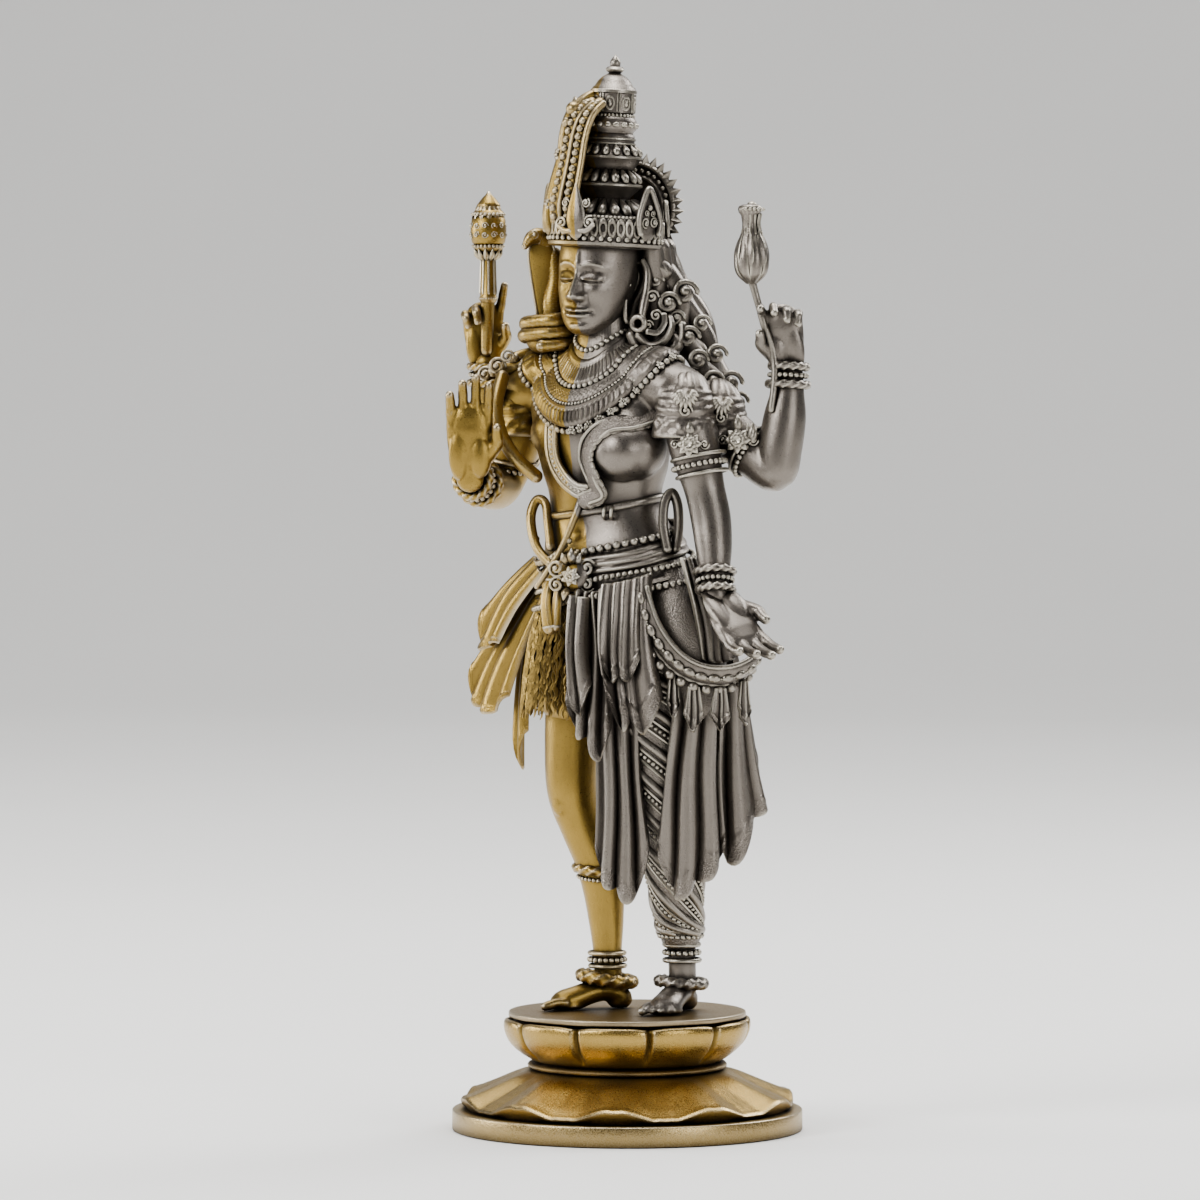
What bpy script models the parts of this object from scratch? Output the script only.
"""Statuette of Ardhanarishvara on a lotus base.

The figure is one casting: its right half, at -X, is the ascetic with mace, cobra and hide
skirt, and its left half, at +X, is the consort with lotus bud, pleats and wrapped leg.
It looks along -Y and stands on a thin plate, a lotus pedestal and a plain disc.
"""

import math

import bmesh
import bpy
from mathutils import Euler, Matrix, Vector
from mathutils.bvhtree import BVHTree

# Driving sizes, in metres
FIGURE_HEIGHT = 0.2665
DISC_RADIUS = 0.049
DISC_HEIGHT = 0.0058
DISC_BEVEL = 0.0007
SKIRT_RADIUS = 0.0466
NECK_RADIUS = 0.0262
CUP_RADIUS = 0.0344
SKIRT_RISE = 0.0122
CUP_RISE = 0.0131
PLATE_RADIUS = 0.0332
PLATE_THICKNESS = 0.0015
SEAT_GAP = 0.0003

# Counts and angles of the lotus base
PETALS = 10
SKIRT_PHASE = math.radians(-91)
CUP_PHASE = math.radians(-75.5)
PEDESTAL_SEGMENTS = 60
DISC_SEGMENTS = 48

# The figure is laid out in millimetres at this height, soles at zero, then scaled to size
MODEL_HEIGHT = 266.5
MILLIMETRE = 0.001
VOXEL = 0.75
FIGURE_TRIANGLES = 7000
CAP_RINGS = 2
WELD = 0.004
TAU = 2 * math.pi

# Heights of the stack, bottom to top
PEDESTAL_FOOT = DISC_HEIGHT + SEAT_GAP
PLATE_FOOT = PEDESTAL_FOOT + SKIRT_RISE + CUP_RISE + SEAT_GAP
FIGURE_FOOT = PLATE_FOOT + PLATE_THICKNESS + SEAT_GAP

# Trunk sections: height, centre x, centre y, half width, half depth
TRUNK = (
    (102, 1.5, -4, 21, 13),
    (106, 1.5, -4, 24, 15),
    (113, 1.5, -4, 25, 15.5),
    (122, 0.5, -4, 24, 14.8),
    (131, -2.2, -4, 21.5, 13.5),
    (142, -4.2, -4.4, 17.5, 12.3),
    (152, -4.6, -4.5, 20.5, 13),
    (162, -5, -4.6, 22.5, 14),
    (170, -5, -4.2, 24, 13),
    (177, -5, -3.4, 21, 10),
    (183, -4.9, -3.6, 10.5, 8),
    (190, -4.5, -4.2, 6.8, 6.8),
    (199, -4.2, -4.2, 6.8, 7),
)

HEAD_CENTRE = Vector((-4, -4.1, 204))
HEAD_TURN = Euler((0, math.radians(3), math.radians(9))).to_matrix().to_4x4()
CROWN_FOOT = Vector((-4.4, -4.1, 212))
CROWN_TIP = Vector((-2.5, -2.1, MODEL_HEIGHT))

COLOURS = {
    "figure": ((0.62, 0.56, 0.46, 1), 0.3),
    "standing_plate": ((0.45, 0.33, 0.14, 1), 0.35),
    "lotus_pedestal": ((0.72, 0.52, 0.2, 1), 0.3),
    "base_disc": ((0.66, 0.48, 0.19, 1), 0.32),
}


def trace(points, share):
    """Value at a share of the way along a smooth curve through the points."""
    span = share * (len(points) - 1)
    start = max(min(int(span), len(points) - 2), 0)
    t = span - start
    rows = (points[max(start - 1, 0)], points[start], points[start + 1],
            points[min(start + 2, len(points) - 1)])
    return [0.5 * (2 * b + (c - a) * t + (2 * a - 5 * b + 4 * c - d) * t * t
                   + (3 * b - a - 3 * c + d) * t ** 3) for a, b, c, d in zip(*rows)]


def skin(clay, around, along, place):
    """Closed form: a grid of cells whose corners go where place(u, v) says, welded at the seams."""
    corners = bmesh.ops.create_grid(clay, x_segments=around, y_segments=along, size=0.5)["verts"]
    for corner in corners:
        corner.co = place(corner.co.x + 0.5, corner.co.y + 0.5)
    bmesh.ops.remove_doubles(clay, verts=corners, dist=WELD)


def rail(points, steps, side):
    """Stations along a curve: centre, way forward, two ways across and the radius."""
    samples = [trace(points, step / steps) for step in range(steps + 1)]
    stations = []
    for index, sample in enumerate(samples):
        after = Vector(samples[min(index + 1, steps)][:3])
        before = Vector(samples[max(index - 1, 0)][:3])
        forward = (after - before).normalized()
        side = forward.orthogonal() if side is None else Vector(side)
        side = (side - forward * side.dot(forward)).normalized()
        stations.append((Vector(sample[:3]), forward, side, forward.cross(side), sample[3]))
    return stations


def limb(clay, points, sides=10, steps=10, flat=1.0, side=None):
    """Round-ended bar through points (x, y, z, radius), squeezed across its side by flat."""
    stations = rail(points, steps, side)

    def place(u, v):
        row = round(v * (steps + 2 * CAP_RINGS)) - CAP_RINGS
        index = min(max(row, 0), steps)
        centre, forward, right, up, radius = stations[index]
        turn = (row - index) / CAP_RINGS * math.pi / 2
        reach = radius * math.cos(turn)
        angle = TAU * u
        return (centre + forward * radius * math.sin(turn)
                + right * reach * math.cos(angle) + up * reach * flat * math.sin(angle))

    skin(clay, sides, steps + 2 * CAP_RINGS, place)


def blob(clay, centre, size, turn=Matrix.Identity(4), level=2):
    """Ellipsoid of three half sizes."""
    matrix = Matrix.Translation(centre) @ turn @ Matrix.Diagonal((*size, 1))
    bmesh.ops.create_icosphere(clay, subdivisions=level, radius=1, matrix=matrix)


def bead(clay, centre, radius):
    blob(clay, centre, (radius, radius, radius), level=1)


def beads(clay, points, count, radius):
    """Row of beads along a curve."""
    for number in range(count):
        bead(clay, trace(points, number / (count - 1)), radius)


def ring(clay, centre, axis, radius, thick, segments=20, sides=6):
    """Round ring about an axis."""
    frame = Vector(axis).to_track_quat("Z", "Y").to_matrix()
    centre = Vector(centre)

    def place(u, v):
        reach = radius + thick * math.cos(TAU * u)
        spot = Vector((reach * math.cos(TAU * v), reach * math.sin(TAU * v), thick * math.sin(TAU * u)))
        return centre + frame @ spot

    skin(clay, sides, segments, place)


def turned(clay, foot, tip, profile, segments=20, lobes=0, depth=0.0):
    """Turned form on an axis, from a profile of (height above foot, radius)."""
    axis = (Vector(tip) - Vector(foot)).normalized()
    frame = axis.to_track_quat("Z", "Y").to_matrix()
    last = len(profile) - 1

    def place(u, v):
        height, radius = profile[round(v * last)]
        radius *= 1 + depth * math.cos(lobes * TAU * u)
        return Vector(foot) + frame @ Vector((radius * math.cos(TAU * u), radius * math.sin(TAU * u),
                                              height))

    skin(clay, segments, last, place)


def panel(clay, rows, thick=1.3, pleats=0, depth=0.0, notch=0.0, across=8, down=6):
    """Hanging cloth of some thickness through rows of points, pleated, its hem cut in tips."""
    nudge = 0.01

    def sheet(s, t):
        t *= 1 - notch * abs(2 * (s * max(pleats, 1) % 1) - 1)
        return Vector(trace([trace(row, s) for row in rows], t))

    def place(u, v):
        s = 1 - abs(2 * u - 1)
        over = sheet(min(s + nudge, 1), v) - sheet(max(s - nudge, 0), v)
        fall = sheet(s, min(v + nudge, 1)) - sheet(s, max(v - nudge, 0))
        outward = over.cross(fall).normalized()
        face = 1 if u < 0.5 else -1
        edge = 0 if v in (0, 1) or s in (0, 1) else 1
        ridge = depth * abs(math.sin(math.pi * pleats * s)) ** 0.7
        return sheet(s, v) - outward * (face * edge * thick / 2 + ridge)

    skin(clay, 2 * across, down, place)


def trunk_at(height, angle, proud=0.0):
    """Point on the trunk's skin at a height and a bearing, stood off by proud."""
    for low, high in zip(TRUNK, TRUNK[1:]):
        if low[0] <= height <= high[0]:
            share = (height - low[0]) / (high[0] - low[0])
            x, y, wide, deep = (a + (b - a) * share for a, b in zip(low[1:], high[1:]))
    return Vector((x + (wide + proud) * math.cos(angle), y + (deep + proud) * math.sin(angle), height))


def girdle(clay, height_at, half_width, proud, segments=36):
    """Band round the trunk whose height follows its bearing."""

    def place(u, v):
        angle = TAU * v
        height = height_at(angle) + half_width * math.sin(TAU * u)
        return trunk_at(height, angle, proud * math.cos(TAU * u))

    skin(clay, 6, segments, place)


def build_trunk(clay):
    levels = len(TRUNK) - 1

    def place(u, v):
        height, x, y, wide, deep = trace(TRUNK, v)
        if v in (0, 1):
            wide = deep = 0
        return Vector((x + wide * math.cos(TAU * u), y + deep * math.sin(TAU * u), height))

    skin(clay, 20, levels * 2, place)
    limb(clay, ((-12, -4.5, 177, 7), (-24, -4.5, 175, 8), (-33.5, -4.5, 172, 7.6)), steps=6)
    limb(clay, ((3, -4.5, 177, 7), (14, -4.5, 175, 8), (24, -4.5, 172, 7.6)), steps=6)
    blob(clay, (9, -14.5, 156), (8, 8, 8))
    blob(clay, (-15, -12, 161), (9, 6, 7.5))
    blob(clay, (-22, -4, 160), (5, 8, 10))


def hand(clay, wrist, reach, thumbward, length, curls, thumb_curl=0.3):
    """Hand from the wrist: palm, four fingers bent by their curls and a thumb."""
    forward = Vector(reach).normalized()
    across = Vector(thumbward)
    across = (across - forward * across.dot(forward)).normalized()
    inward = forward.cross(across) if curls[0] >= 0 else across.cross(forward)
    wrist = Vector(wrist)
    width = length * 0.24
    palm = [(*(wrist + forward * length * share), width * wide)
            for share, wide in ((0, 0.62), (0.2, 0.9), (0.42, 1), (0.5, 0.92))]
    limb(clay, palm, steps=6, flat=0.42, side=across)
    for number, (curl, size) in enumerate(zip(curls, (0.41, 0.46, 0.43, 0.34))):
        spot = wrist + forward * length * (0.52 - 0.02 * abs(number - 1)) + across * width * (0.75 - 0.5 * number)
        path = [(*spot, length * 0.062)]
        bend = 0
        for joint in (0.42, 0.32, 0.26):
            bend += abs(curl) * (0.6 if joint > 0.4 else 1)
            way = forward * math.cos(bend) + inward * math.sin(bend)
            spot = spot + way * length * size * joint
            path.append((*spot, length * 0.056))
        limb(clay, path, sides=7, steps=5)
    root = wrist + forward * length * 0.16 + across * width * 0.7
    knuckle = root + (forward * 0.75 + across * 0.55 + inward * thumb_curl).normalized() * length * 0.2
    tip = knuckle + (forward + inward * thumb_curl).normalized() * length * 0.17
    limb(clay, ((*root, length * 0.085), (*knuckle, length * 0.07), (*tip, length * 0.055)), sides=7,
         steps=4)


def build_arms(clay):
    limb(clay, ((-33.5, -4.5, 172, 7.6), (-38, -4, 158, 7.2), (-41, -5.7, 145.6, 6),
                (-36.5, -18, 146.5, 6.2),
                (-30.8, -31.1, 149, 4)), steps=12)
    hand(clay, (-30.8, -31.4, 150), (0.05, -0.07, 1), (0.766, 0.643, 0), 27, (0.06, 0.03, 0.05, 0.1))
    limb(clay, ((-30, 1, 169, 7.4), (-44, 6, 158, 6.8), (-53.4, 7.4, 148.9, 6), (-54.6, 5.6, 163, 6),
                (-54.9, 3.5, 180.2, 4.1)), steps=12)
    hand(clay, (-54.9, 3.3, 181), (0.02, -0.12, 1), (0.766, 0.643, 0), 24, (0.12, 0.5, 1.0, 1.1), 0.8)
    limb(clay, ((21.8, 3, 168, 7.4), (34, 8, 158, 6.8), (45.4, 9.4, 151, 6), (47.2, 10.8, 164, 6.2),
                (48.2, 11.7, 178.6, 4)), steps=12)
    hand(clay, (48.1, 11.2, 180), (0, -0.25, 1), (-0.766, -0.643, 0), 24, (-0.35, -0.5, -0.75, -0.9), 0.8)
    limb(clay, ((25, -6, 171, 7.4), (29.6, -6.5, 157.1, 7), (33.2, -4.8, 141.2, 5.6),
                (36.5, -6.6, 129, 5.4),
                (39.1, -9, 116.9, 3.8)), steps=12)
    hand(clay, (39.6, -9.1, 116.2), (0.7, -0.1, -0.72), (0.35, 0.9, 0.2), 27, (0.22, 0.25, 0.28, 0.3))


def build_legs(clay):
    limb(clay, ((-9, -4, 115, 10), (-13, -6.5, 89, 8.4), (-13.5, -7.5, 61, 7.2), (-11.6, -4, 48, 6.2),
                (-9, -0.2, 37, 6), (-7.6, 0.3, 17, 4.4), (-7.2, 0.6, 6, 4)), steps=18)
    limb(clay, ((10.5, -3.5, 108, 15), (12, -2.5, 92, 13.2), (13.4, -1.8, 76, 11.5), (14.5, -1, 59, 9),
                (14, 3, 42.4, 8), (13.2, 6.5, 26.5, 6.3), (13, 7.6, 22, 5.7)), sides=16, steps=18)
    limb(clay, ((13, 7.8, 24, 3.8), (12.8, 8.8, 6, 3.8)), steps=4)
    foot(clay, Vector((-4.2, 5.5, 0)), Vector((-18.4, -16.8, 0)), 1)
    foot(clay, Vector((10.9, 13.6, 0)), Vector((19.2, -11.3, 0)), -1)


def foot(clay, heel, toe, big_toe_side):
    """Bare foot from heel to toe tips, with the big toe on the given side."""
    forward = (toe - heel).normalized()
    side = Vector((-forward.y, forward.x, 0)) * -1
    length = (toe - heel).length
    lift = Vector((0, 0, 1))

    def at(share, across, height):
        return heel + forward * length * share + side * across + lift * height

    limb(clay, ((*at(0.12, 0, 3.2), 3.8), (*at(0.32, 0, 4.6), 4), (*at(0.55, 0, 3.4), 4.2),
                (*at(0.72, 0, 1.9), 4.6)), steps=6, flat=0.75, side=side)
    blob(clay, at(0.72, 0, 0.6), (4.9, 4.9, 1.8))
    for number in range(5):
        across = big_toe_side * (3.8 - 1.9 * number)
        reach = 1.0 - 0.055 * number
        size = 1.55 if number == 0 else 1.1
        limb(clay, ((*at(0.76, across, 1.6), size), (*at(reach - 0.1, across, 1.5), size),
                    (*at(reach - 0.03, across, 0.9), size * 0.85)), sides=6, steps=3)


def build_head(clay):
    place = Matrix.Translation(HEAD_CENTRE) @ HEAD_TURN

    def lump(centre, size):
        blob(clay, place @ Vector(centre), size, HEAD_TURN)

    lump((0, 1, 4), (10.2, 12, 13.4))
    lump((0, -3, -5), (8.4, 8.2, 10.2))
    lump((0, -8.2, -13), (3.2, 2.8, 2.4))
    lump((0, -11, -8.6), (3.2, 1.7, 0.9))
    lump((0, -10.8, -10.3), (2.6, 1.6, 1))
    for side in (-1, 1):
        lump((side * 4, -9.9, 0.8), (2.1, 1.2, 1.1))
        lump((side * 5, -8, -4), (3, 2.4, 3.4))
        lump((side * 1.6, -11.6, -5.4), (1.1, 1.4, 1))
        lump((side * 10.3, 1.5, -0.5), (1.5, 2.8, 4.4))
        brow = ((side * 0.8, -11.2, 3), (side * 4, -10.8, 4.2), (side * 7, -8.2, 3.4))
        limb(clay, [(*(place @ Vector(spot)), 1) for spot in brow], sides=6, steps=4)
    nose = ((0, -10.8, 3.4, 1), (0, -12.6, -2, 1.2), (0, -13.6, -4.9, 1.6))
    limb(clay, [(*(place @ Vector(spot[:3])), spot[3]) for spot in nose], sides=8, steps=4)


def build_crown(clay):
    """Stacked crown with its band, finial, plaques, hair tower and spiked halo."""
    profile = ((0, 0), (1.6, 15.6), (2.2, 16.4), (8, 16.2), (8.8, 15.4), (9.4, 10.4), (11.7, 10.9),
               (13.6, 10.2),
               (14.6, 8.4), (16.4, 8), (18, 9.8), (20, 10.6), (21.8, 9.6), (22.8, 6.6), (25, 9.4),
               (26.7, 9.9),
               (28.3, 8), (30.6, 7.8), (32.5, 7.5), (33.3, 7.7), (35.6, 8.1), (37.8, 7.5), (38.2, 6.1),
               (44, 6.1),
               (44.4, 6.5), (46, 5.6), (48, 4), (49.4, 1.4), (50.6, 2.5), (51.8, 1), (53.4, 1.2),
               (54.5, 0))
    turned(clay, CROWN_FOOT, CROWN_TIP, profile, segments=28)
    place = Matrix.Translation(CROWN_FOOT) @ HEAD_TURN
    tower = ((6, 16.4), (12, 17), (25, 14.4), (33, 13.6), (38.5, 12.4), (41.5, 9.6), (43, 6))

    def tower_place(u, v):
        height, radius = trace(tower, v)
        if v in (0, 1):
            radius = 0
        angle = TAU * u
        lock = 1 + 0.03 * math.cos(16 * angle)
        side = radius * math.cos(angle) * lock
        return place @ Vector((min(side, 0.8), radius * math.sin(angle) * lock, height))

    skin(clay, 32, 12, tower_place)
    for start, finish in (((-4.5, -14.5, 8), (-3, -12.5, 39)), ((-0.6, -15, 10), (-0.6, -11.5, 38))):
        path = [place @ Vector(start), place @ (Vector(start).lerp(Vector(finish), 0.5)),
                place @ Vector(finish)]
        beads(clay, path, 13, 1.0)
    for bearing in range(0, 360, 36):
        angle = math.radians(bearing - 90)
        spot = Vector((16.2 * math.cos(angle), 16.2 * math.sin(angle), 9))
        tall = 1 if bearing in (0, 108, 252) else 0.45
        upright = Matrix.Rotation(angle, 4, "Z")
        blob(clay, place @ spot, (1.2, 4.2 * tall + 1, 7 * tall), HEAD_TURN @ upright)
    halo = place @ Vector((0, 14.5, 12))
    back = HEAD_TURN.to_3x3() @ Vector((0, 1, 0))
    turned(clay, halo - back * 1.1, halo + back, ((0, 0), (0, 13.8), (2.2, 13.8), (2.2, 0)), segments=28)
    for number in range(20):
        angle = TAU * number / 20
        way = HEAD_TURN.to_3x3() @ Vector((math.cos(angle), 0, math.sin(angle)))
        turned(clay, halo + way * 12.8, halo + way * 17, ((0, 0), (0, 1.7), (4.4, 0)), segments=4)
    limb(clay, ((*(place @ Vector((0, 4, 10))), 3), (*halo, 3)), steps=3)


def build_hair(clay):
    """Hair at the nape and the curls that fall over the consort's shoulder."""
    limb(clay, ((-3, 3, 214, 12.5), (-3, 5.5, 202, 11.5), (-2, 8, 190, 10), (-1, 8.5, 178, 9),
                (-1, 8.5, 166, 6)),
         sides=14, steps=10)
    locks = (
        ((4, 6, 212, 4), (8, 8, 202, 4), (10, 9.5, 192, 4), (13.5, 9, 185, 3.6), (18, 8, 178, 3)),
        ((3, 12, 208, 4), (7, 15, 196, 4), (11, 16, 188, 3.8), (16.5, 16, 180, 3.6),
         (21.5, 14.5, 173, 3)),
        ((9, 3, 196, 3), (12.5, 2.4, 188, 3.2), (15.5, 1, 182, 2.6)),
        ((14, 12, 184, 3), (20, 11, 178, 3), (24, 11, 170, 2.6)),
        ((-16, 3, 186, 2.6), (-26, 1, 184, 2.6), (-34, -9, 181, 2.2), (-38.5, -13, 179, 1.8)),
    )
    for lock in locks:
        limb(clay, lock, sides=8, steps=8)
    for spot, size in (((9.5, 6.5, 199.3), 3.4), ((10.5, 14, 194), 3.2), ((14.8, 11.4, 187.3), 3.2),
                       ((19.3, 12.6, 181.2), 3), ((22.7, 12.8, 174.8), 3), ((24.6, 16, 170.6), 2.8),
                       ((24, 11, 168.5), 2.6), ((19.3, 7.3, 178.5), 2.6), ((-34.4, -12.4, 181.3), 2.4)):
        ring(clay, spot, (0.643, -0.766, 0.1), size * 0.6, size * 0.42, segments=10, sides=5)
        bead(clay, spot, size * 0.4)


def build_ears(clay):
    """The consort's long ear with its scrolled ring, and the cobra at the ascetic's ear."""
    limb(clay, ((6, -2, 203, 1.4), (6.4, -3.4, 197, 1.3), (6.8, -4.4, 192, 1.5)), sides=6, steps=4)
    ring(clay, (11.5, 1.5, 191.5), (0.643, -0.766, 0), 4.4, 1.6, segments=14)
    ring(clay, (14.5, 3, 196.5), (0.643, -0.766, 0), 2.6, 1.3, segments=10)
    for level, size in ((186, 8.2), (189.6, 7.6), (193, 6.6)):
        ring(clay, (-22.5, -6.5, level), (0.15, -0.12, 1), size, 2, segments=18)
    blob(clay, (-22.5, -6.5, 187), (8, 8, 5))
    limb(clay, ((-24.5, -9, 192, 2.2), (-25, -8.5, 200, 2.4), (-25, -8.4, 208, 2.2),
                (-24.6, -9.4, 214.5, 2)),
         steps=8)
    limb(clay, ((-24.4, -7.6, 196, 2.4), (-24.8, -7.4, 203, 4), (-24.8, -7.6, 209.5, 3.4),
                (-24.8, -8, 213, 2)),
         steps=6, flat=0.4, side=(0.766, 0.643, 0))
    limb(clay, ((-24.9, -7.5, 215.2, 1.9), (-24, -11, 215, 2), (-23.2, -14.6, 213.6, 1.3)), sides=8,
         steps=5)


def build_collar(clay, under):
    """Tiered collar laid over chest and shoulders, found by looking inwards at what it lies on."""
    heart = Vector((-4.8, -4.5, 160))
    sunk = -1.2
    tiers = ([sunk], [3.2], [3.2], [1.2], [1.3], [3], [2.8], [1.2], [1.2], [2.8], [2.4], [0.8])

    def place(u, v):
        bearing = TAU * u
        frontal = max(-math.sin(bearing), 0)
        lowest = math.radians(42 - 33 * frontal ** 1.5)
        lower, inner = (v * 2, False) if v <= 0.5 else (2 - v * 2, True)
        rise = lowest + (math.radians(80) - lowest) * lower
        way = Vector((math.cos(bearing) * math.cos(rise), math.sin(bearing) * math.cos(rise),
                      math.sin(rise)))
        spot = under.ray_cast(heart + way * 90, -way)[0]
        return spot + way * (sunk if inner else trace(tiers, lower)[0])

    skin(clay, 40, 32, place)
    for bearing in range(-160, -10, 9):
        angle = math.radians(bearing)
        frontal = max(-math.sin(angle), 0)
        rise = math.radians(42 - 33 * frontal ** 1.5)
        way = Vector((math.cos(angle) * math.cos(rise), math.sin(angle) * math.cos(rise), math.sin(rise)))
        bead(clay, under.ray_cast(heart + way * 90, -way)[0] + way * 0.9, 1.2)


def build_jewels(clay):
    """Armlets, bangles, anklets, shoulder guards and the cords over the chest."""
    rings = (
        ((-34.4, -24, 147.4), (0.35, -0.93, 0.14), 5.6, 1.1),
        ((-32.6, -28, 148.3), (0.35, -0.93, 0.14), 4.9, 1.1),
        ((-54.9, 3.9, 177.5), (0, -0.12, 1), 5, 1), ((-54.9, 3.6, 179.8), (0, -0.12, 1), 4.8, 1),
        ((48.2, 11.4, 177.2), (0, 0.06, 1), 5, 1.1), ((48.2, 11.6, 179.8), (0, 0.06, 1), 4.8, 1.1),
        ((38.2, -8.2, 121), (0.2, -0.2, -1), 5, 1), ((38.8, -8.7, 118.4), (0.2, -0.2, -1), 4.8, 1),
        ((30.6, -6, 154), (0.2, 0.05, -1), 7.6, 1), ((31.6, -5.6, 149.6), (0.2, 0.05, -1), 7.2, 1),
        ((36, 8.2, 156.6), (0.8, 0.2, -0.55), 7.4, 1.1), ((-39.6, -4.6, 152), (-0.2, 0, -1), 7.2, 1.2),
        ((-47, 6.6, 154.6), (-0.7, 0.1, -0.7), 7, 1.1),
        ((-7.6, 0.3, 14.6), (0, 0, 1), 5.4, 1.2), ((-7.4, 0.2, 8.6), (0.1, 0.1, 1), 8, 1.8),
        ((12.9, 8.2, 17.4), (0, 0, 1), 5, 1.2), ((12.9, 8.4, 14.8), (0, 0, 1), 5, 1.2),
        ((12.9, 8, 7.6), (0, 0, 1), 6.2, 1.7), ((13, 7.6, 21.8), (0, 0, 1), 5.8, 1.2),
        ((-9.2, -0.4, 37.4), (0.1, 0, 1), 6.5, 1),
    )
    for centre, axis, radius, thick in rings:
        ring(clay, centre, axis, radius, thick)
    for centre, size in (((32.5, -11.6, 158), 3.6), ((37, 1.6, 160), 4), ((-34.8, -11.6, 167), 3.4)):
        blob(clay, centre, (size, 1.8, size * 1.2), Matrix.Rotation(math.radians(40), 4, "Z"))
    for centre, axis, size in (((29, -5, 171), (0.75, -0.35, 0.55), 7.6),
                               ((29, 6, 170), (0.75, 0.35, 0.5), 7.4),
                               ((-36.5, -5.5, 172.5), (-0.75, -0.35, 0.55), 7.8)):
        ring(clay, centre, axis, size, 1.5)
        blob(clay, Vector(centre) + Vector(axis), (size * 0.8, size * 0.8, size * 0.8))
    cords = (
        ((19.2, -7.4, 167.5, 1.6), (13.3, -14.9, 163.8, 2), (8.3, -19.2, 163, 2), (3.6, -20, 158.7, 2),
         (2.1, -19.4, 153.7, 2), (4, -19, 148.7, 2), (4.6, -17.3, 145, 1.6), (0.6, -17.8, 143.1, 1.4)),
        ((-14.2, -16.6, 167.3, 1.4), (-13.3, -18.4, 159.6, 1.4), (-11.4, -18.6, 152.7, 1.4),
         (-7.3, -18.4, 147.2, 1.4), (-2.2, -17.9, 143.9, 1.4)),
        ((-10.1, -17.6, 166.5, 1.2), (-9.7, -18.2, 156.8, 1.2), (-7.3, -18.4, 151.3, 1.2),
         (-2.8, -18, 147.2, 1.2)),
        ((-34, -14, 176.7, 2), (-31.5, -19, 169.2, 2.2), (-28.4, -20.5, 161.7, 2.2),
         (-23.5, -19.6, 154.5, 2.2),
         (-19, -16.5, 149, 2)),
        ((-2.4, -16.4, 143.2, 1), (-3.9, -17.6, 137.5, 1), (-5.6, -19, 132, 1), (-8.6, -19.6, 126.5, 1)),
        ((-4.9, -20.5, 125.5, 1.6), (-6.8, -23.6, 120.4, 1.9), (-7.2, -24.6, 114.5, 2),
         (-6, -25, 107.6, 1.5)),
        ((-13.5, -17, 126.3, 1.6), (-19.4, -15.6, 132.2, 1.5), (-21.5, -15, 138.3, 1.4),
         (-20, -13.8, 142.2, 1.3),
         (-16.6, -13.9, 139.6, 1.3), (-14, -16, 132, 1.3)),
        ((22, -8.2, 130.2, 1.5), (20.9, -8.9, 139.1, 1.4), (20.9, -8.5, 143.8, 1.3),
         (22.4, -6.4, 144.6, 1.3),
         (22.8, -5.4, 136, 1.4)),
    )
    for cord in cords:
        limb(clay, cord, sides=6, steps=12)


def build_waist(clay):
    """Stomach band, belt, hip sash, clasp and bead strings."""
    girdle(clay, lambda angle: 140 + 2.4 * math.cos(angle), 1.6, 1.4)
    girdle(clay, lambda angle: 125.5 + 4.5 * math.cos(angle) + 3.5 * math.sin(angle) + 2 * math.sin(angle) ** 2,
           2.8, 2)
    girdle(clay, lambda angle: 119.5 + 3.5 * math.cos(angle) + 3.5 * math.sin(angle), 1.3, 2.6)
    blob(clay, (-1.6, -20.6, 121.2), (5.4, 3, 5.2))
    for number in range(16):
        angle = math.radians(-78 + 6.5 * number)
        bead(clay, trunk_at(129 + 4.6 * math.cos(angle) + 2.6 * math.sin(angle), angle, 1.9), 1.2)


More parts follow.
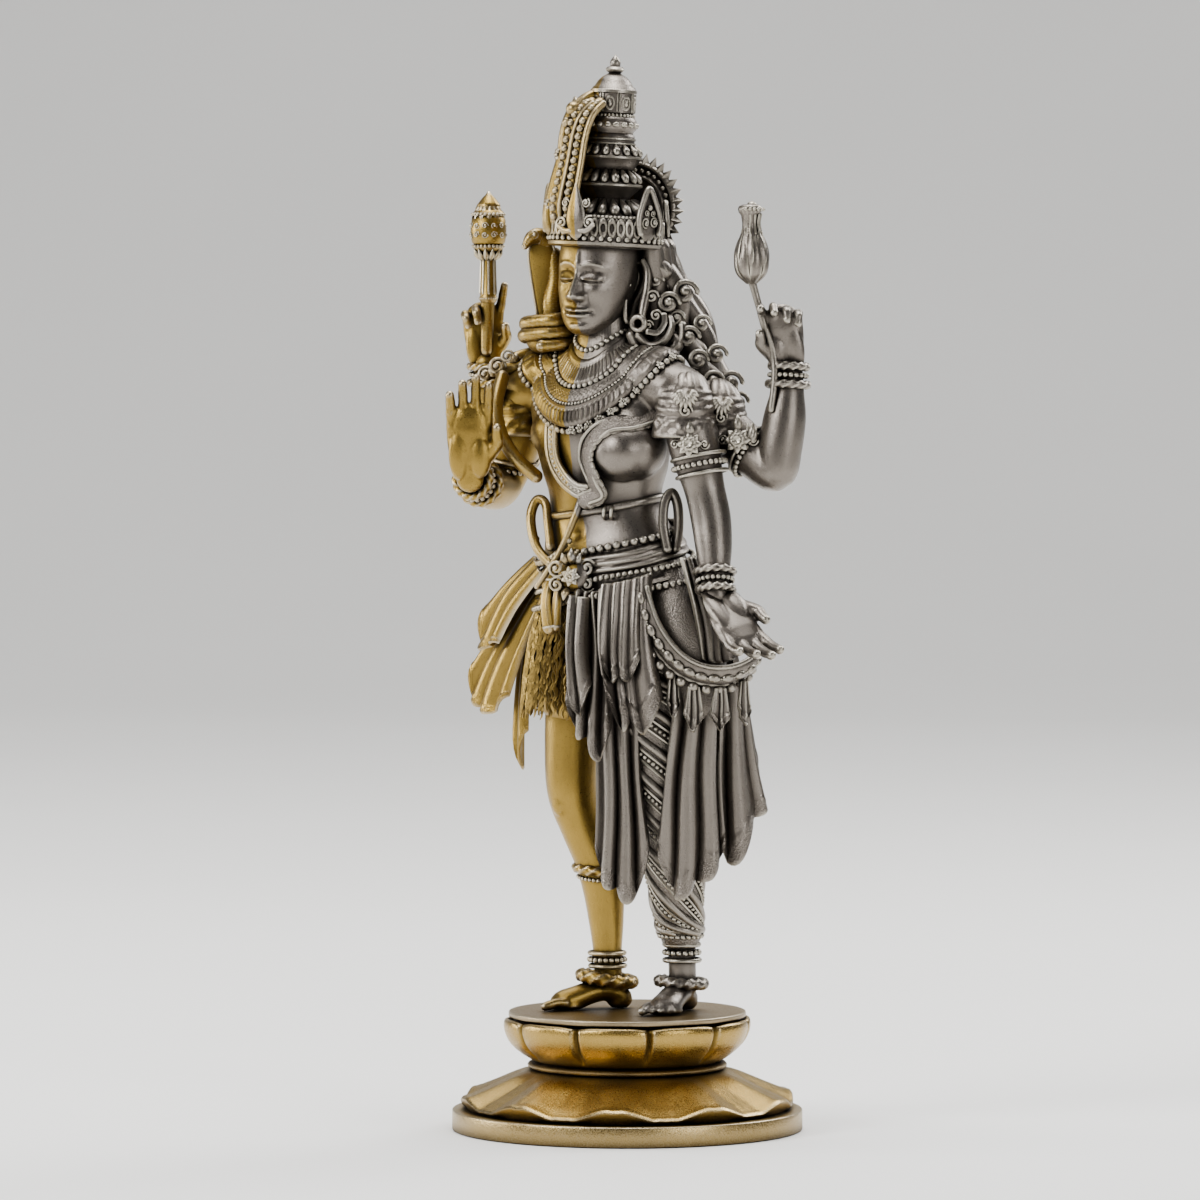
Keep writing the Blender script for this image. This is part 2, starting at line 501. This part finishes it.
def build_clothes(clay):
    """Hide skirt, flaring sashes, pleats, swag and the wrapped leg."""
    limb(clay, ((-7, -4, 120, 15), (-10, -5.2, 104, 15.6), (-12, -6, 90, 14.8)), sides=22, steps=6)
    for number in range(26):
        angle = TAU * number / 26
        foot_spot = Vector((-12 + 14 * math.cos(angle), -6 + 14 * math.sin(angle), 85 + 2 * (number % 3)))
        top = Vector((-11 + 15.2 * math.cos(angle), -5.6 + 15.2 * math.sin(angle), 98))
        limb(clay, ((*top, 1.5), (*top.lerp(foot_spot, 0.6), 1.6), (*foot_spot, 0.7)), sides=5, steps=3)
    flares = (
        ((((-26, -8, 126), (-22, -12, 125), (-17, -15.5, 122)),
          ((-35, -9, 119), (-31, -13, 115), (-26, -16, 112)),
          ((-45.7, -9.7, 110), (-40.3, -14, 99), (-31.8, -17, 102))), 3),
        ((((-26, -6, 122), (-21, -10, 120), (-16, -14.5, 117)),
          ((-40, -7.5, 106), (-33.5, -11.5, 102), (-24.5, -15, 100)),
          ((-50.8, -8.6, 93.5), (-43.5, -12.6, 81), (-29.9, -16, 85))), 4),
        ((((-28, -1, 116), (-26, -5, 114), (-23, -10, 112)),
          ((-34, -4, 97), (-30.4, -7, 96), (-26, -10.4, 96)),
          ((-35.5, -5.6, 79.9), (-30.8, -8, 67), (-27, -10.5, 75))), 3),
        ((((-24, 7, 120), (-16, 11.5, 121), (-6, 13, 121)),
          ((-32, 8, 104), (-20, 14, 102), (-8, 15.5, 102)),
          ((-38, 9, 84), (-24, 15, 74), (-10, 16.5, 82))), 5),
    )
    for rows, pleats in flares:
        panel(clay, rows, thick=1.6, pleats=pleats, depth=1.3, notch=0.1, across=4 * pleats, down=8)
    falls = (
        ((((1, -23, 116), (5, -22, 115.5), (9, -21, 116)),
          ((0.6, -24.4, 102), (6, -23.2, 101), (10, -20.4, 101)),
          ((-0.6, -24, 88), (4.4, -23, 72), (11, -19.5, 74))), 3, 1.3),
        ((((3.5, -19, 92), (9.5, -17.5, 92), (15.5, -13.5, 92)),
          ((3.2, -17.5, 65.6), (9.3, -15.7, 62.9), (14.6, -12, 65.7)),
          ((2.4, -16, 45), (8.6, -14, 27), (15.4, -8.3, 45))), 5, 1.6),
        ((((8, -22, 115), (15.5, -20, 117), (22, -16, 121)),
          ((10, -24.4, 102), (17, -22, 101), (24, -18, 105)),
          ((11.5, -25, 90), (18, -22, 78), (26.4, -16, 84))), 5, 1.5),
        ((((27, -10, 93), (31.3, -6.4, 92), (34, -0.8, 92)),
          ((21, -8.8, 65.8), (27.7, -5.5, 64.6), (31.4, 2.4, 65.7)),
          ((18.6, -6, 48), (25, -4.2, 30), (30.4, 5.3, 47))), 5, 1.7),
        ((((29.5, 0, 92), (31, 6.4, 92), (31, 12, 92)),
          ((26.5, 4, 73.8), (30, 9.1, 72.3), (32, 16, 73.4)),
          ((24.6, 5.3, 58), (29.5, 10.5, 41), (33, 21, 57))), 5, 1.7),
        ((((29.5, -12, 93), (36, -7, 92), (42, 2, 94)), ((30.5, -11.8, 88), (37, -6.2, 86), (43, 3, 90)),
          ((31.7, -11.2, 84), (38, -5, 76), (44, 4, 84))), 4, 1),
        ((((3, 13.5, 122), (14, 12.5, 124), (25, 4, 126)), ((6, 16, 98), (17, 17, 98), (29, 11, 98)),
          ((8, 19, 62), (20, 21, 50), (32, 19, 62))), 7, 1.6),
    )
    for rows, pleats, depth in falls:
        panel(clay, rows, thick=1.8, pleats=pleats, depth=depth, notch=0.08, across=4 * pleats, down=10)
    swag = ((21, -18.5, 118, 3), (24.4, -17.6, 108, 3.6), (29.8, -14.6, 99.5, 3.8),
            (35.1, -10.4, 95, 3.8),
            (39.8, -4, 94.4, 3.6), (40, 5, 98, 3.2), (34, 12, 104, 3))
    limb(clay, swag, sides=8, steps=14, flat=0.5, side=(0, 0, 1))
    limb(clay, ((24, -9, 120, 5), (32, -4.5, 108, 7.4), (35, 0, 97, 6)), sides=10, steps=6)
    for number in range(13):
        x, y, z = trace(swag, number / 13 * 0.8 + 0.12)[:3]
        bead(clay, (x + 0.4, y - 1, z - 4), 1.7)
    wrap = [trace(((10.9, -3, 100, 14.6), (12, -2.5, 92, 13.4), (13.4, -1.8, 76, 11.7),
                   (14.5, -1, 59, 9.2),
                   (14, 3, 42.4, 8.2), (13.2, 6.5, 26.5, 6.6), (13, 7.6, 22, 6)),
                   step / 108) for step in range(109)]
    path = []
    for step, (x, y, z, radius) in enumerate(wrap):
        angle = TAU * step / 12 - 1
        path.append((x + radius * math.cos(angle), y + radius * math.sin(angle), z, 1.1))
    limb(clay, path, sides=5, steps=108)


def build_emblems(clay):
    """Mace in the ascetic's rear hand, lotus bud in the consort's."""
    mace = ((0, 0), (0.1, 2.6), (2, 2.6), (12.5, 2.2), (14.6, 2.5), (15.6, 4.6), (18, 5.4), (21, 5.5),
            (24.5, 5.2),
            (27, 4.1), (27.9, 4.6), (28.9, 3.4), (30.3, 2.2), (30.8, 1.2), (31.8, 0))
    turned(clay, (-51.9, 0.7, 197.5), (-51.8, 0.8, 229), mace, segments=16)
    bud = ((0, 0), (0.1, 1.2), (1.5, 3.2), (4.5, 4.6), (8.5, 4.8), (12, 3.9), (14.7, 2.8), (17, 2.5),
           (19.5, 2.7),
           (20.7, 3.4), (22.1, 3.3), (22.3, 0))
    turned(clay, (42.8, 2, 202.5), (42.4, 1.6, 224.8), bud, segments=16)
    limb(clay, ((42.8, 2, 203.5, 1.2), (44.3, 3, 197, 1.1), (45.6, 4, 191, 1.1), (46.8, 6.4, 184, 1.1),
                (47.6, 7.2, 177, 1)), sides=6, steps=8)
    limb(clay, ((-52, 0.7, 199, 2.2), (-52.4, 0.8, 190, 2), (-52.8, 1, 184, 1.8)), sides=8, steps=4)


def shell_of(mesh):
    """Only the outer shell of a mesh, which fills every hollow closed inside it."""
    form = bmesh.new()
    form.from_mesh(mesh)
    left = set(form.verts)
    shells = []
    while left:
        pile = [left.pop()]
        shell = list(pile)
        while pile:
            for edge in pile.pop().link_edges:
                for corner in edge.verts:
                    if corner in left:
                        left.discard(corner)
                        pile.append(corner)
                        shell.append(corner)
        shells.append(shell)
    shells.sort(key=len)
    for shell in shells[:-1]:
        bmesh.ops.delete(form, geom=shell, context="VERTS")
    return form


def finished(name, form, collection):
    """Object of a bmesh, with its own material."""
    mesh = bpy.data.meshes.new(name)
    form.to_mesh(mesh)
    form.free()
    piece = bpy.data.objects.new(name, mesh)
    collection.objects.link(piece)
    colour, roughness = COLOURS[name]
    metal = bpy.data.materials.new(name + "_metal")
    metal.use_nodes = True
    shader = metal.node_tree.nodes["Principled BSDF"]
    shader.inputs["Base Color"].default_value = colour
    shader.inputs["Metallic"].default_value = 1
    shader.inputs["Roughness"].default_value = roughness
    mesh.materials.append(metal)
    return piece


def modified(form, kind, **settings):
    """The bmesh after one modifier."""
    mesh = bpy.data.meshes.new("stage")
    form.to_mesh(mesh)
    form.free()
    holder = bpy.data.objects.new("stage", mesh)
    bpy.context.scene.collection.objects.link(holder)
    modifier = holder.modifiers.new(kind.title(), kind)
    for key, value in settings.items():
        setattr(modifier, key, value)
    result = bpy.data.meshes.new_from_object(holder.evaluated_get(bpy.context.evaluated_depsgraph_get()))
    bpy.data.objects.remove(holder)
    return result


def build_figure(collection):
    clay = bmesh.new()
    build_trunk(clay)
    bmesh.ops.recalc_face_normals(clay, faces=clay.faces)
    under = BVHTree.FromBMesh(clay)
    build_arms(clay)
    build_legs(clay)
    build_head(clay)
    build_crown(clay)
    build_hair(clay)
    build_ears(clay)
    build_collar(clay, under)
    build_jewels(clay)
    build_waist(clay)
    build_clothes(clay)
    build_emblems(clay)
    bmesh.ops.recalc_face_normals(clay, faces=clay.faces)
    cast = shell_of(modified(clay, "REMESH", mode="VOXEL", voxel_size=VOXEL))
    triangles = len(cast.faces) * 2
    cast = modified(cast, "DECIMATE", ratio=FIGURE_TRIANGLES / triangles)
    form = shell_of(cast)
    cut = bmesh.ops.bisect_plane(form, geom=form.verts[:] + form.edges[:] + form.faces[:],
                                 plane_co=(0, 0, 0),
                                 plane_no=(0, 0, -1), clear_outer=True)
    rims = [edge for edge in cut["geom_cut"] if isinstance(edge, bmesh.types.BMEdge)]
    bmesh.ops.holes_fill(form, edges=rims)
    bmesh.ops.triangulate(form, faces=form.faces)
    bmesh.ops.recalc_face_normals(form, faces=form.faces)
    top = max(corner.co.z for corner in form.verts)
    scale = FIGURE_HEIGHT / top
    bmesh.ops.scale(form, verts=form.verts, vec=(scale, scale, scale))
    bmesh.ops.translate(form, verts=form.verts, vec=(0, 0, FIGURE_FOOT))
    finished("figure", form, collection)


def build_pedestal(collection):
    """Lotus: scalloped skirt of drooping petals, a waist ring and a cup of upright petals."""
    skirt = ((0, 0, 0, 0), (SKIRT_RADIUS * 0.965, 0, 0, 0), (SKIRT_RADIUS * 0.985, 0.0012, 0.3, 0.5),
             (SKIRT_RADIUS, 0.002, 1, 1), (SKIRT_RADIUS * 0.955, 0.0034, 0.8, 0.9),
             (SKIRT_RADIUS * 0.84, 0.0058, 0.5, 0.6), (SKIRT_RADIUS * 0.7, 0.0088, 0.3, 0.3),
             (NECK_RADIUS, SKIRT_RISE - 0.0012, 0, 0))
    waist = ((NECK_RADIUS * 1.06, SKIRT_RISE - 0.0008), (NECK_RADIUS * 1.06, SKIRT_RISE + 0.0006),
             (NECK_RADIUS * 0.98, SKIRT_RISE + 0.001))
    cup = ((NECK_RADIUS * 1.06, 0.17, 0.3), (CUP_RADIUS * 0.94, 0.42, 1), (CUP_RADIUS * 0.995, 0.72, 1),
           (CUP_RADIUS, 0.96, 1), (CUP_RADIUS * 0.975, 0.995, 1), (CUP_RADIUS * 0.94, 0.93, 0.4),
           (CUP_RADIUS * 0.905, 0.93, 0), (CUP_RADIUS * 0.895, 1, 0), (0, 1, 0))
    scallop = 0.0016
    groove = 0.0011
    seam_sharpness = 10

    def skirt_corner(row, angle):
        radius, height, spread, lift = row
        wave = math.cos(PETALS * (angle - SKIRT_PHASE))
        return radius + scallop * 0.25 * spread * wave, height + scallop * lift * wave

    def cup_corner(row, angle):
        radius, share, depth = row
        seam = abs(math.cos(PETALS / 2 * (angle - CUP_PHASE))) ** seam_sharpness
        return radius - groove * depth * seam, SKIRT_RISE + CUP_RISE * share

    rows = len(skirt) + len(waist) + len(cup)

    def place(u, v):
        angle = TAU * u
        number = round(v * (rows - 1))
        if number < len(skirt):
            radius, height = skirt_corner(skirt[number], angle)
        elif number < len(skirt) + len(waist):
            radius, height = waist[number - len(skirt)]
        else:
            radius, height = cup_corner(cup[number - len(skirt) - len(waist)], angle)
        radius = max(radius, 0)
        return Vector((radius * math.cos(angle), radius * math.sin(angle),
                       PEDESTAL_FOOT + height)) / MILLIMETRE

    form = bmesh.new()
    skin(form, PEDESTAL_SEGMENTS, rows - 1, place)
    bmesh.ops.recalc_face_normals(form, faces=form.faces)
    bmesh.ops.scale(form, verts=form.verts, vec=(MILLIMETRE, MILLIMETRE, MILLIMETRE))
    finished("lotus_pedestal", form, collection)


def build_round(name, radius, height, foot, bevel, collection):
    """Plain round plate with a small bevel on its edges."""
    form = bmesh.new()
    bmesh.ops.create_cone(form, cap_ends=True, segments=DISC_SEGMENTS, radius1=radius, radius2=radius,
                          depth=height,
                          matrix=Matrix.Translation((0, 0, foot + height / 2)))
    if bevel:
        rims = [edge for edge in form.edges if abs(edge.verts[0].co.z - edge.verts[1].co.z) < height / 2]
        bmesh.ops.bevel(form, geom=rims, offset=bevel, offset_type="OFFSET", affect="EDGES", segments=1,
                        profile=0.5,
                        material=-1)
    finished(name, form, collection)


def main():
    for leftover in list(bpy.data.objects):
        bpy.data.objects.remove(leftover)
    collection = bpy.data.collections.new("ardhanarishvara_statue")
    bpy.context.scene.collection.children.link(collection)
    build_round("base_disc", DISC_RADIUS, DISC_HEIGHT, 0, DISC_BEVEL, collection)
    build_pedestal(collection)
    build_round("standing_plate", PLATE_RADIUS, PLATE_THICKNESS, PLATE_FOOT, 0, collection)
    build_figure(collection)


main()
